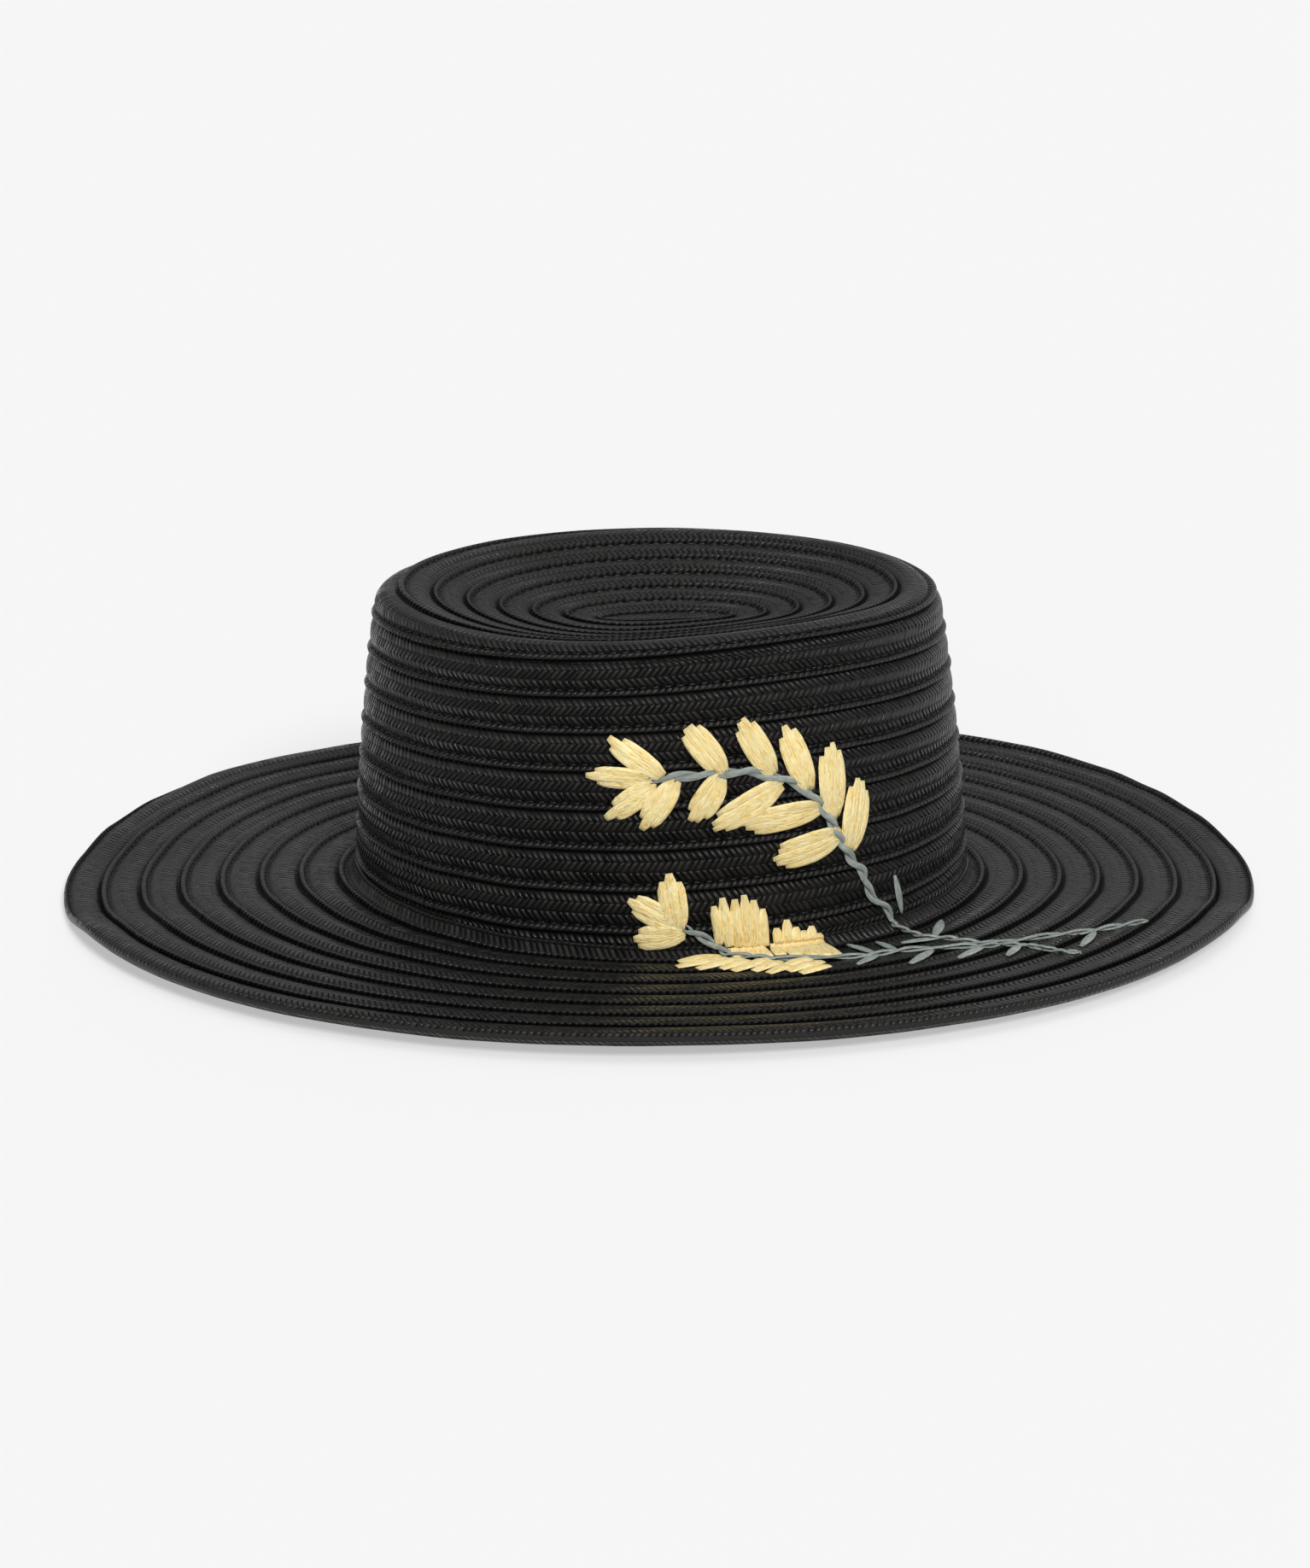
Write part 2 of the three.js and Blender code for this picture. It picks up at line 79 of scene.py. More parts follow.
# Fine detail of the braid, in millimetres. LANES counts the lanes of the plait, and shares are of a row.
CHEVRON = 2.15
LANES = 4
STRAND_SLANT = 0.95
BRAID_RELIEF = 0.9
RAFFIA_RELIEF = 0.9
WOBBLE = 0.09
STITCH_PITCH = 3.9
STITCH_LENGTH = 2.7
STITCH_FLAT = 1.4
STITCH_DIP = 0.2
STITCH_SAMPLES = 720
SHORTEST_STITCHED_ROW = 40.0
THREAD_RADIUS = 0.2
THREAD_LIFT = 0.12
SEAM_MARGIN = 0.02
UNDER_SHARE = 0.55
EDGE_ROUNDING = 1.2
EDGE_MIDDLE = 0.9

# Height of the brim round the hat: bearing, share of ROOT_HEIGHT, share of BRIM_LIFT.
BRIM_SHAPE = [
    (-180, 3, 0), (-172, 2.9, 0), (-160, 2.6, 0.7), (-148, 2.1, 0.77), (-135, 1.6, 0.77),
    (-115, 0.95, 0.87), (-90, 0.6, 0.98), (-65, 0.74, 0.85), (-45, 0.95, 0.73), (-28, 1.4, 0.73),
    (-18, 1.7, 0.63), (-8, 1.9, 0), (0, 1.95, 0), (8, 1.95, 0), (18, 1.95, 0.3),
    (26, 1.9, 0.55), (33, 1.85, 0.76), (45, 1.7, 1), (58, 1.5, 1.05), (90, 1.3, 0.83),
    (127, 1.5, 0.72), (144, 1.9, 0.9), (154, 2.3, 0.66), (163, 2.7, 0.38), (172, 2.9, 0),
]

# One row of braid in section: share of the row's width, height in millimetres.
ROW_PROFILE = [
    (0.0, -0.45), (0.04, -0.2), (0.09, 0.25), (0.17, 0.7), (0.28, 1.02), (0.4, 1.08), (0.54, 0.98),
    (0.67, 0.7), (0.75, 0.34), (0.795, 0.05), (0.82, 0.12), (0.845, 0.8), (0.875, 1.26), (0.91, 1.42),
    (0.945, 1.28), (0.975, 0.7),
]
GROOVE_SHARE = 0.8
GROOVE_HEIGHT = 0.02
# The same row seen from below, where it is flatter.
UNDER_PROFILE = [(0.0, 0.1), (0.03, 0.75), (0.12, 0.8), (0.4, 0.55), (0.75, 0.25), (0.97, 0.05)]


def mix(a, b, t):
    return a + (b - a) * t


def smooth(t):
    t = np.clip(t, 0, 1)
    return t * t * (3 - 2 * t)


def brim_column(column, theta):
    """Eased value of one column of BRIM_SHAPE at the bearings theta, in radians."""
    bearing = (np.degrees(theta) + 180) % 360 - 180
    starts = np.array([row[0] for row in BRIM_SHAPE] + [BRIM_SHAPE[0][0] + 360], float)
    values = np.array([row[column] for row in BRIM_SHAPE] + [BRIM_SHAPE[0][column]], float)
    i = np.clip(np.searchsorted(starts, bearing, side="right") - 1, 0, len(starts) - 2)
    share = (bearing - starts[i]) / (starts[i + 1] - starts[i])
    return mix(values[i], values[i + 1], smooth(share))


def root_z(theta):
    return ROOT_HEIGHT * brim_column(1, theta)


def edge_z(theta):
    return 2 * STRAW + BRIM_LIFT * brim_column(2, theta)


CREST_Z = ROOT_HEIGHT + CROWN_HEIGHT
RIM_Z = CREST_Z - RIM_RADIUS
WALL_HEIGHT = CROWN_HEIGHT - RIM_RADIUS


def oval(half_length, half_width, theta, outward, centre_x):
    nx = np.cos(theta) * half_width
    ny = np.sin(theta) * half_length
    length = np.hypot(nx, ny)
    x = centre_x + half_length * np.cos(theta) + outward * nx / length
    y = half_width * np.sin(theta) + outward * ny / length
    return x, y


def skew_shift(theta, share):
    front = (1 - np.sin(theta)) / 2
    return RIM_SKEW * share * front * np.sin(theta) ** 2 * np.cos(theta)


def crest_shift(theta, share, over):
    drop = CREST_DROP * share * (1 - over) * (1 - np.sin(theta)) / 2
    return skew_shift(theta, share) - drop - RIM_TILT * over * np.sin(theta)


def rim_shift(theta, share):
    tilt = RIM_TILT * share + WALL_TILT * 4 * share * (1 - share)
    return skew_shift(theta, share) - tilt * np.sin(theta)


def wall_foot(theta):
    return root_z(theta) - ROOT_HEIGHT + FOOT_RADIUS + CLEARANCE


def wall_shift(theta, up):
    foot = wall_foot(theta)
    return rim_shift(theta, np.clip((up - foot) / (WALL_HEIGHT - foot), 0, 1))


def wall_point(theta, up, height):
    share = np.clip(up / WALL_HEIGHT, 0, 1)
    bulge = CROWN_BULGE * 4 * share * (1 - share)
    x, y = oval(
        mix(HEAD_HALF_LENGTH, CROWN_TOP_HALF_LENGTH, share) + bulge,
        mix(HEAD_HALF_WIDTH, CROWN_TOP_HALF_WIDTH, share) + bulge,
        theta, height, HEAD_OFFSET - CROWN_LEAN * share,
    )
    return np.stack([x, y, ROOT_HEIGHT + up + wall_shift(theta, up)], -1)


def brim_point(theta, out, height):
    root = root_z(theta)
    share = np.clip(out / (BRIM_WIDTH - EDGE_ROW_WIDTH), 0, 1)
    centre_x = HEAD_OFFSET * (1 - share)
    turn_up = EDGE_TURN_UP * brim_column(2, theta)
    turned = turn_up * np.clip((out - BRIM_WIDTH + EDGE_ROW_WIDTH) / EDGE_ROW_WIDTH, 0, 1)
    flat_z = mix(root, edge_z(theta) - turn_up, share) + turned
    angle = (math.pi / 2) * (1 - np.clip(out / FOOT_RADIUS, 0, 1))
    radius = FOOT_RADIUS - height
    in_fillet = out < FOOT_RADIUS
    outward = np.where(in_fillet, FOOT_RADIUS - radius * np.sin(angle), out)
    z = np.where(in_fillet, flat_z + FOOT_RADIUS - radius * np.cos(angle), flat_z + height)
    x, y = oval(HEAD_HALF_LENGTH, HEAD_HALF_WIDTH, theta, outward, centre_x)
    return np.stack([x, y, z], -1)


FLAT_INSET = RIM_RADIUS * (1 + math.sin(RIM_INNER_ANGLE))
DISH_ROWS = (CROWN_TOP_HALF_WIDTH - FLAT_INSET) / TIP_PITCH
RIM_ARC = math.pi / 2 + RIM_INNER_ANGLE
SIDE_FIRST = (CROWN_HEIGHT - TOP_SEAM_DROP - WALL_HEIGHT) / SIDE_PITCH
SIDE_LAST = (CROWN_HEIGHT - TOP_SEAM_DROP - FOOT_RADIUS) / SIDE_PITCH
RIM_ROWS = math.ceil(DISH_ROWS) + SIDE_FIRST - DISH_ROWS
TIP_ROWS = DISH_ROWS + RIM_ROWS


def tip_point(theta, row, height):
    centre_x = HEAD_OFFSET - CROWN_LEAN
    share = np.clip(row / DISH_ROWS, 0, 1)
    flat_z = RIM_Z + RIM_RADIUS * math.cos(RIM_INNER_ANGLE)
    x = centre_x + mix(STRIP_HALF_LENGTH, CROWN_TOP_HALF_LENGTH - FLAT_INSET, share) * np.cos(theta)
    y = (CROWN_TOP_HALF_WIDTH - FLAT_INSET) * share * np.sin(theta)
    rise = np.where(height > 0, height * np.clip(row, 0, 1), height)
    z = flat_z - DISH_DEPTH * (1 - share ** 1.5) + rise + crest_shift(theta, share, 0)
    angle = -RIM_INNER_ANGLE + RIM_ARC * (row - DISH_ROWS) / RIM_ROWS
    outward = (RIM_RADIUS + height) * np.sin(angle) - RIM_RADIUS
    rim_x, rim_y = oval(CROWN_TOP_HALF_LENGTH, CROWN_TOP_HALF_WIDTH, theta, outward, centre_x)
    over = smooth((row - DISH_ROWS) / RIM_ROWS)
    rim_z = RIM_Z + (RIM_RADIUS + height) * np.cos(angle) + crest_shift(theta, 1, over)
    on_rim = row > DISH_ROWS
    return np.stack([np.where(on_rim, rim_x, x), np.where(on_rim, rim_y, y), np.where(on_rim, rim_z, z)], -1)


BRIM_FIRST = 1 - FIRST_BRIM_ROW / BRIM_PITCH
BRIM_LAST = BRIM_FIRST + (BRIM_WIDTH - EDGE_ROW_WIDTH) / BRIM_PITCH
EDGE_LAST = BRIM_FIRST + BRIM_WIDTH / BRIM_PITCH


def side_point(theta, row, height):
    share = (row - SIDE_FIRST) / (SIDE_LAST - SIDE_FIRST)
    return wall_point(theta, mix(WALL_HEIGHT - JOINT, wall_foot(theta), share), height)


def brim_row_point(theta, row, height):
    return brim_point(theta, (row - BRIM_FIRST) * BRIM_PITCH, height)


def edge_row_point(theta, row, height):
    """The doubled edge row, its outer edge rounded over."""
    out = (row - BRIM_FIRST) * BRIM_PITCH
    near = np.clip((out - (BRIM_WIDTH - EDGE_ROUNDING)) / EDGE_ROUNDING, 0, 1)
    thicker = 1 + 0.6 * np.clip(brim_column(2, theta), 0, 1)
    height = np.where(height < -0.5, height * thicker, height)
    rounded = (height + EDGE_MIDDLE) * np.sqrt(1 - 0.93 * near ** 2) - EDGE_MIDDLE
    return brim_point(theta, out, rounded)


def even_turn(turn):
    return turn


def back_half_turn(turn):
    return smooth(2 * turn - 1)


def new_material(name):
    material = bpy.data.materials.new(name)
    material.use_nodes = True
    nodes = material.node_tree.nodes
    nodes.clear()
    output = nodes.new("ShaderNodeOutputMaterial")
    shader = nodes.new("ShaderNodeBsdfPrincipled")
    material.node_tree.links.new(shader.outputs[0], output.inputs[0])
    return material, shader


class Graph:
    """Short way to write chains of shader nodes."""

    def __init__(self, material):
        self.nodes = material.node_tree.nodes
        self.links = material.node_tree.links

    def put(self, socket, value):
        if isinstance(value, bpy.types.NodeSocket):
            self.links.new(value, socket)
        else:
            socket.default_value = value

    def math(self, operation, a, b=None, c=None):
        node = self.nodes.new("ShaderNodeMath")
        node.operation = operation
        self.put(node.inputs[0], a)
        if b is not None:
            self.put(node.inputs[1], b)
        if c is not None:
            self.put(node.inputs[2], c)
        return node.outputs[0]

    def uv(self, name):
        node = self.nodes.new("ShaderNodeUVMap")
        node.uv_map = name
        split = self.nodes.new("ShaderNodeSeparateXYZ")
        self.links.new(node.outputs[0], split.inputs[0])
        return split.outputs[0], split.outputs[1]

    def normal_z(self):
        node = self.nodes.new("ShaderNodeNewGeometry")
        split = self.nodes.new("ShaderNodeSeparateXYZ")
        self.links.new(node.outputs["True Normal"], split.inputs[0])
        return split.outputs[2]

    def xyz(self, x, y, z=0.0):
        node = self.nodes.new("ShaderNodeCombineXYZ")
        for socket, value in zip(node.inputs, (x, y, z)):
            self.put(socket, value)
        return node.outputs[0]

    def noise(self, vector, scale, detail=2.0):
        node = self.nodes.new("ShaderNodeTexNoise")
        self.put(node.inputs["Vector"], vector)
        node.inputs["Scale"].default_value = scale
        node.inputs["Detail"].default_value = detail
        return node.outputs[0]

    def random(self, vector):
        node = self.nodes.new("ShaderNodeTexWhiteNoise")
        node.noise_dimensions = "3D"
        self.put(node.inputs["Vector"], vector)
        return node.outputs["Value"]

    def remap(self, value, low, high, to_low, to_high):
        node = self.nodes.new("ShaderNodeMapRange")
        for socket, item in zip(node.inputs, (value, low, high, to_low, to_high)):
            self.put(socket, item)
        return node.outputs[0]

    def ramp(self, value, stops):
        node = self.nodes.new("ShaderNodeValToRGB")
        elements = node.color_ramp.elements
        while len(elements) < len(stops):
            elements.new(0.5)
        for element, (position, colour) in zip(elements, stops):
            element.position = position
            element.color = (*colour, 1)
        self.put(node.inputs[0], value)
        return node.outputs[0]

    def bump(self, height, distance):
        node = self.nodes.new("ShaderNodeBump")
        node.inputs["Strength"].default_value = 1.0
        node.inputs["Distance"].default_value = distance
        self.put(node.inputs["Height"], height)
        return node.outputs[0]

    def hump(self, value, power):
        """1 in the middle of each whole step of value, falling to 0 at its ends."""
        part = self.math("FRACT", value)
        off = self.math("ABSOLUTE", self.math("MULTIPLY_ADD", part, 2.0, -1.0))
        return self.math("SUBTRACT", 1.0, self.math("POWER", off, power))


def straw_material():
    """Plaited straw, drawn from a UV map that counts chevrons along the braid and rows across it."""
    material, shader = new_material("black_straw_braid")
    g = Graph(material)
    u, v = g.uv("braid")
    row = g.math("FLOOR", v)
    part = g.math("FRACT", v)
    lane = g.math("MULTIPLY", part, float(LANES))
    zigzag = g.math("PINGPONG", lane, 1.0)
    strand = g.math("MULTIPLY_ADD", zigzag, STRAND_SLANT, u)
    lane_index = g.math("FLOOR", lane)
    strand_index = g.math("FLOOR", strand)
    strand_hump = g.hump(strand, 2.4)
    lane_hump = g.math("MULTIPLY_ADD", g.hump(lane, 3.0), 0.5, 0.5)
    chance = g.random(g.xyz(strand_index, g.math("MULTIPLY_ADD", row, 7.0, lane_index), 0.0))
    fibre = g.noise(g.xyz(g.math("MULTIPLY", strand, 9.0), g.math("MULTIPLY", v, 5.0)), 1.0, 3.0)

    # Each strand is tilted by chance. The plait is shallower on level rows and on the cord at a row's edge.
    tilt = g.math("MULTIPLY", g.math("SUBTRACT", chance, 0.5), g.math("FRACT", strand))
    height = g.math("MULTIPLY", strand_hump, lane_hump)
    height = g.math("MULTIPLY_ADD", tilt, 1.3, height)
    height = g.math("MULTIPLY_ADD", fibre, 0.25, height)
    up = g.math("ABSOLUTE", g.normal_z())
    cord = g.math("MULTIPLY", g.remap(part, 0.82, 0.86, 0.0, 1.0), 0.5)
    flatness = g.math("MAXIMUM", g.math("MULTIPLY", up, 0.35), cord)
    depth = g.math("SUBTRACT", 1.0, flatness)
    g.links.new(g.bump(g.math("MULTIPLY", height, depth), BRAID_RELIEF * MM), shader.inputs["Normal"])

    # Painted shade: darker in the laps between rows and in the sewn groove, in colour and in gloss. The
    # outer lap is the cord's outer face, painted dark as if unlit.
    inner_lap_shade = g.remap(part, 0.0, 0.09, 0.08, 1.0)
    outer_lap_shade = g.remap(part, 0.94, 0.97, 1.0, 0.06)
    from_groove = g.math("ABSOLUTE", g.math("SUBTRACT", part, GROOVE_SHARE))
    groove = g.remap(from_groove, 0.015, 0.06, 0.15, 1.0)
    shade = g.math("MULTIPLY", g.math("MULTIPLY", inner_lap_shade, outer_lap_shade), groove)
    # Painted shade between strands and lanes: the tone is darker in the hollows of the plait's relief, and
    # evens out where the relief is shallow, on level rows and on the cord.
    even_out = g.math("SUBTRACT", 1.0, depth)
    strand_tone = g.math("MULTIPLY_ADD", g.math("SUBTRACT", 1.0, strand_hump), even_out, strand_hump)
    tone = g.math("MULTIPLY_ADD", chance, 0.4, g.math("MULTIPLY", strand_tone, 0.6))
    tone = g.math("MULTIPLY", g.math("MULTIPLY", tone, lane_hump), shade)
    colour = g.ramp(tone, [
        (0.0, (0.0014, 0.0013, 0.0013)),
        (0.4, (0.0056, 0.0053, 0.0051)),
        (1.0, (0.0175, 0.0162, 0.0152)),
    ])
    g.links.new(colour, shader.inputs["Base Color"])
    g.links.new(g.remap(chance, 0.0, 1.0, 0.2, 0.42), shader.inputs["Roughness"])
    # Walls get less specular than level rows, a painted shade that dims the walls.
    gloss = g.math("MULTIPLY_ADD", up, 0.08, 0.15)
    g.links.new(g.math("MULTIPLY", shade, gloss), shader.inputs["Specular IOR Level"])
    shader.inputs["Sheen Weight"].default_value = 0.01
    shader.inputs["Sheen Roughness"].default_value = 0.4
    return material


def thread_material():
    material, shader = new_material("black_sewing_thread")
    g = Graph(material)
    coord = g.nodes.new("ShaderNodeTexCoord").outputs["Object"]
    grain = g.noise(coord, 900.0, 2.0)
    colour = g.ramp(grain, [(0.3, (0.006, 0.0055, 0.0055)), (0.75, (0.018, 0.0165, 0.016))])
    g.links.new(colour, shader.inputs["Base Color"])
    g.links.new(g.bump(grain, 0.0001), shader.inputs["Normal"])
    shader.inputs["Roughness"].default_value = 0.42
    return material


def raffia_material(name, stops, roughness):
    """Streaked raffia, from a UV map in millimetres along a strand and shares across it."""
    material, shader = new_material(name)
    g = Graph(material)
    u, v = g.uv("stitch")
    streaks = g.noise(g.xyz(g.math("MULTIPLY", u, 0.35), g.math("MULTIPLY", v, 9.0)), 1.0, 3.0)
    fine = g.noise(g.xyz(g.math("MULTIPLY", u, 0.9), g.math("MULTIPLY", v, 34.0)), 1.0, 2.0)
    blotch = g.noise(g.xyz(g.math("MULTIPLY", u, 0.22), g.math("MULTIPLY", v, 0.9)), 1.0, 1.0)
    # The streaks are the raffia's own uneven colour, and the bump below uses the same streaks, so the colour
    # also holds painted shade in the creases and painted highlight on the ridges.
    tone = g.math("ADD", g.math("MULTIPLY", streaks, 0.55), g.math("MULTIPLY", fine, 0.2))
    tone = g.math("MULTIPLY_ADD", blotch, 0.25, tone)
    g.links.new(g.ramp(tone, stops), shader.inputs["Base Color"])
    relief = g.math("ADD", streaks, g.math("MULTIPLY", fine, 0.5))
    g.links.new(g.bump(relief, RAFFIA_RELIEF * MM), shader.inputs["Normal"])
    shader.inputs["Roughness"].default_value = roughness
    shader.inputs["Sheen Weight"].default_value = 0.08
    return material


MATERIAL_STRAW = straw_material()
MATERIAL_THREAD = thread_material()
# In both raffias the darkest stops are painted shade in the creases and the palest stops are painted
# highlight on the ridges, over the raffia's own colour.
MATERIAL_LEAF = raffia_material("pale_raffia", [
    (0.30, (0.55, 0.31, 0.04)), (0.38, (0.83, 0.565, 0.155)), (0.46, (0.96, 0.74, 0.305)),
    (0.60, (1.0, 0.885, 0.50)),
], 0.45)
MATERIAL_STEM = raffia_material("grey_green_raffia", [
    (0.30, (0.12, 0.145, 0.13)), (0.48, (0.32, 0.37, 0.335)), (0.66, (0.52, 0.57, 0.52)),
], 0.5)


def add_mesh(name, points, faces, material, nodes=(), uvs=None, uv_name="braid"):
    """A new piece in metres that rides on the hat and stands for the nodes given."""
    points = np.asarray(points, np.float64) * MM
    faces = np.asarray(faces, np.int32)
    corners = points[faces]
    sides = np.linalg.norm(corners - np.roll(corners, -1, axis=1), axis=2)
    kept = sides >= SHORTEST_SIDE
    sound = kept.sum(axis=1) >= 3
    polygons = [
        [vertex for vertex, keep in zip(face, keeps) if keep]
        for face, keeps in zip(faces[sound].tolist(), kept[sound].tolist())
    ]
    mesh = bpy.data.meshes.new(name)
    mesh.from_pydata(points.tolist(), [], polygons)
    if uvs is not None:
        corner_uvs = np.asarray(uvs)[sound][kept[sound]]
        layer = mesh.uv_layers.new(name=uv_name)
        layer.data.foreach_set("uv", corner_uvs.astype(np.float32).ravel())
    mesh.shade_smooth()
    mesh.materials.append(material)
    piece = bpy.data.objects.new(name, mesh)
    bpy.context.scene.collection.objects.link(piece)
    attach(piece, "root")
    if nodes:
        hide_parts(*nodes)
    return piece


def weld(piece):
    """Joins vertices at one place and points every face outward."""
    work = bmesh.new()
    work.from_mesh(piece.data)
    bmesh.ops.remove_doubles(work, verts=work.verts, dist=WELD_DISTANCE)
    bmesh.ops.dissolve_degenerate(work, edges=work.edges, dist=SHORTEST_SIDE)
    bmesh.ops.recalc_face_normals(work, faces=work.faces)
    work.to_mesh(piece.data)
    work.free()


def row_lengths(place, shift_at, columns, start, end):
    """Chevrons counted along the braid from the start, one line of values for each row."""
    i = np.arange(columns + 1)
    theta = -FULL_TURN * i / columns
    shift = shift_at(i / columns)
    counts = {}
    total = 0.0
    for row in range(start, end + 1):
        path = place(theta, row + 0.5 + shift, np.zeros(columns + 1))
        steps = np.linalg.norm(np.diff(path, axis=0), axis=1)
        run = np.concatenate([[0], np.cumsum(steps)])
        chevrons = max(8, round(run[-1] / CHEVRON))
        counts[row] = total + chevrons * run / max(run[-1], 1e-6)
        total += chevrons
    return counts


def wobble(u, amount):
    """Slight unevenness of the straw along the braid."""
    return amount * (np.sin(u / 9.1) + 0.7 * np.sin(u / 4.3 + 1.7) + 0.5 * np.sin(u / 2.1 + 0.4)) / 1.6


def row_height(part, profile):
    """Height of a row's section at a share of its width."""
    shares = [p[0] for p in profile] + [1.0]
    heights = [p[1] for p in profile] + [profile[0][1]]
    return np.interp(part, shares, heights)


def braided_sheet(name, node, place, shift_at, first, last, thickness, columns, closed_middle=False):
    """A closed sheet of lapped rows: their section above, and a flatter one below."""
    start = math.floor(first) - 1
    end = math.ceil(last)
    i = np.arange(columns + 1)
    theta = (-FULL_TURN * (i % columns)) / columns
    shift = shift_at(i / columns)
    counts = row_lengths(place, shift_at, columns, start, end)
    points = []
    faces = []
    uvs = []
    ends = []
    vertex_count = 0
    for profile, base, scale, below in (
        (ROW_PROFILE, 0.0, 1.0, False),
        (UNDER_PROFILE, -thickness, -UNDER_SHARE, True),
    ):
        lines = []
        u = []
        v = []
        for row in range(start, end + 1):
            for part, height in profile:
                at = row + part + shift
                cut = (at <= first) | (at >= last)
                clamped = np.clip(at, first, last)
                level = np.where(cut, row_height((clamped - shift) % 1.0, profile), height)
                uneven = wobble(counts[row] + 31 * part, WOBBLE) * min(1, 4 * part)
                level = level + np.where(cut, 0, uneven)
                lines.append(place(theta, clamped, base + scale * level))
                u.append(counts[row])
                v.append(np.full(columns + 1, float(row + part)))
        grid = vertex_count + np.arange(len(lines) * (columns + 1)).reshape(len(lines), -1)
        vertex_count += grid.size
        points.extend(lines)
        u = np.array(u)
        v = np.array(v)
        here = np.stack([u[:-1], v[:-1]], -1)
        there = np.stack([u[:-1], np.minimum(v[1:], np.floor(v[:-1]) + 0.9999)], -1)
        corners = [
            (grid[:-1, :-1], here[:, :-1]), (grid[1:, :-1], there[:, :-1]),
            (grid[1:, 1:], there[:, 1:]), (grid[:-1, 1:], here[:, 1:]),
        ]
        if below:
            corners[1:] = reversed(corners[1:])
        faces.append(np.stack([index for index, _ in corners], -1).reshape(-1, 4))
        uvs.append(np.stack([uv for _, uv in corners], -2).reshape(-1, 4, 2))
        ends.append((grid[0], grid[-1]))
    (top_start, top_end), (under_start, under_end) = ends
    walls = [] if closed_middle else [[top_start[:-1], top_start[1:], under_start[1:], under_start[:-1]]]
    walls.append([top_end[:-1], under_end[:-1], under_end[1:], top_end[1:]])
    for wall in walls:
        faces.append(np.stack(wall, -1))
        uvs.append(np.tile(np.array([[0.0, 0.1]] * 4), (columns, 1, 1)))
    piece = add_mesh(name, np.concatenate(points), np.concatenate(faces), MATERIAL_STRAW,
                     (node,), np.concatenate(uvs))
    weld(piece)


def machine_stitches(name, place, shift_at, first, last):
    """Short dashes of thread along the groove of each row."""
    i = np.arange(STITCH_SAMPLES + 1)
    theta = -FULL_TURN * i / STITCH_SAMPLES
    shift = shift_at(i / STITCH_SAMPLES)
    level = np.full(STITCH_SAMPLES + 1, GROOVE_HEIGHT + THREAD_LIFT)
    round_thread = ((1, 0), (0, 1), (-1, 0), (0, -1))
    points = []
    faces = []
    for row in range(math.floor(first) - 1, math.ceil(last) + 1):
        at = row + GROOVE_SHARE + shift
        path = place(theta, np.clip(at, first, last), level)
        above_path = place(theta, np.clip(at, first, last), level + 1)
        run = np.concatenate([[0], np.cumsum(np.linalg.norm(np.diff(path, axis=0), axis=1))])
        if run[-1] < SHORTEST_STITCHED_ROW:
            continue
        count = int(run[-1] / STITCH_PITCH)
        for k in range(count):
            middle = (k + 0.5) * run[-1] / count
            if not first + SEAM_MARGIN < np.interp(middle, run, at) < last - SEAM_MARGIN:
                continue
            tail, centre, head = (
                np.array([np.interp(middle + off, run, path[:, c]) for c in range(3)])
                for off in (-STITCH_LENGTH / 2, 0, STITCH_LENGTH / 2)
            )
            above = np.array([np.interp(middle, run, above_path[:, c]) for c in range(3)])
            up = (above - centre) / np.linalg.norm(above - centre)
            along = (head - tail) / np.linalg.norm(head - tail)
            side = np.cross(along, up)
            base = len(points)
            points.append(tail - up * STITCH_DIP)
            for shoulder in (-STITCH_FLAT / 2, STITCH_FLAT / 2):
                for a, b in round_thread:
                    points.append(centre + along * shoulder + THREAD_RADIUS * (side * a + up * b))
            points.append(head - up * STITCH_DIP)
            for a in range(4):
                b = (a + 1) % 4
                faces.append([base, base + 1 + b, base + 1 + a, base + 1 + a])
                faces.append([base + 1 + a, base + 1 + b, base + 5 + b, base + 5 + a])
                faces.append([base + 9, base + 5 + a, base + 5 + b, base + 5 + b])
    add_mesh(name, points, faces, MATERIAL_THREAD)


braided_sheet("straw_crown_tip", "crown_tip", tip_point, even_turn, 0.0, TIP_ROWS, STRAW, 320, True)
braided_sheet("straw_crown_side", "crown_side", side_point, even_turn, SIDE_FIRST, SIDE_LAST, STRAW, 400)
braided_sheet("straw_brim", "brim", brim_row_point, back_half_turn, BRIM_FIRST,
              BRIM_LAST - JOINT / BRIM_PITCH, STRAW, 480)
braided_sheet("straw_brim_edge", "brim_edge", edge_row_point, back_half_turn, BRIM_LAST, EDGE_LAST,
              2 * STRAW - 0.45, 480)
machine_stitches("tip_stitches", tip_point, even_turn, 0.6, TIP_ROWS)
machine_stitches("side_stitches", side_point, even_turn, SIDE_FIRST, SIDE_LAST)
machine_stitches("brim_stitches", brim_row_point, back_half_turn, BRIM_FIRST, BRIM_LAST)


def hat_point(bearing, level, height):
    """A place on the hat's outside: level is millimetres up the crown, or out on the brim if negative."""
    theta = math.radians(bearing)
    root = float(root_z(theta))
    if level >= FOOT_RADIUS:
        up = root - ROOT_HEIGHT + level
        up -= float(wall_shift(theta, up))
        return wall_point(theta, up, height)
    if level <= -FOOT_RADIUS:
        return brim_point(theta, -level, height)
    return brim_point(theta, (FOOT_RADIUS - level) / 2, height)


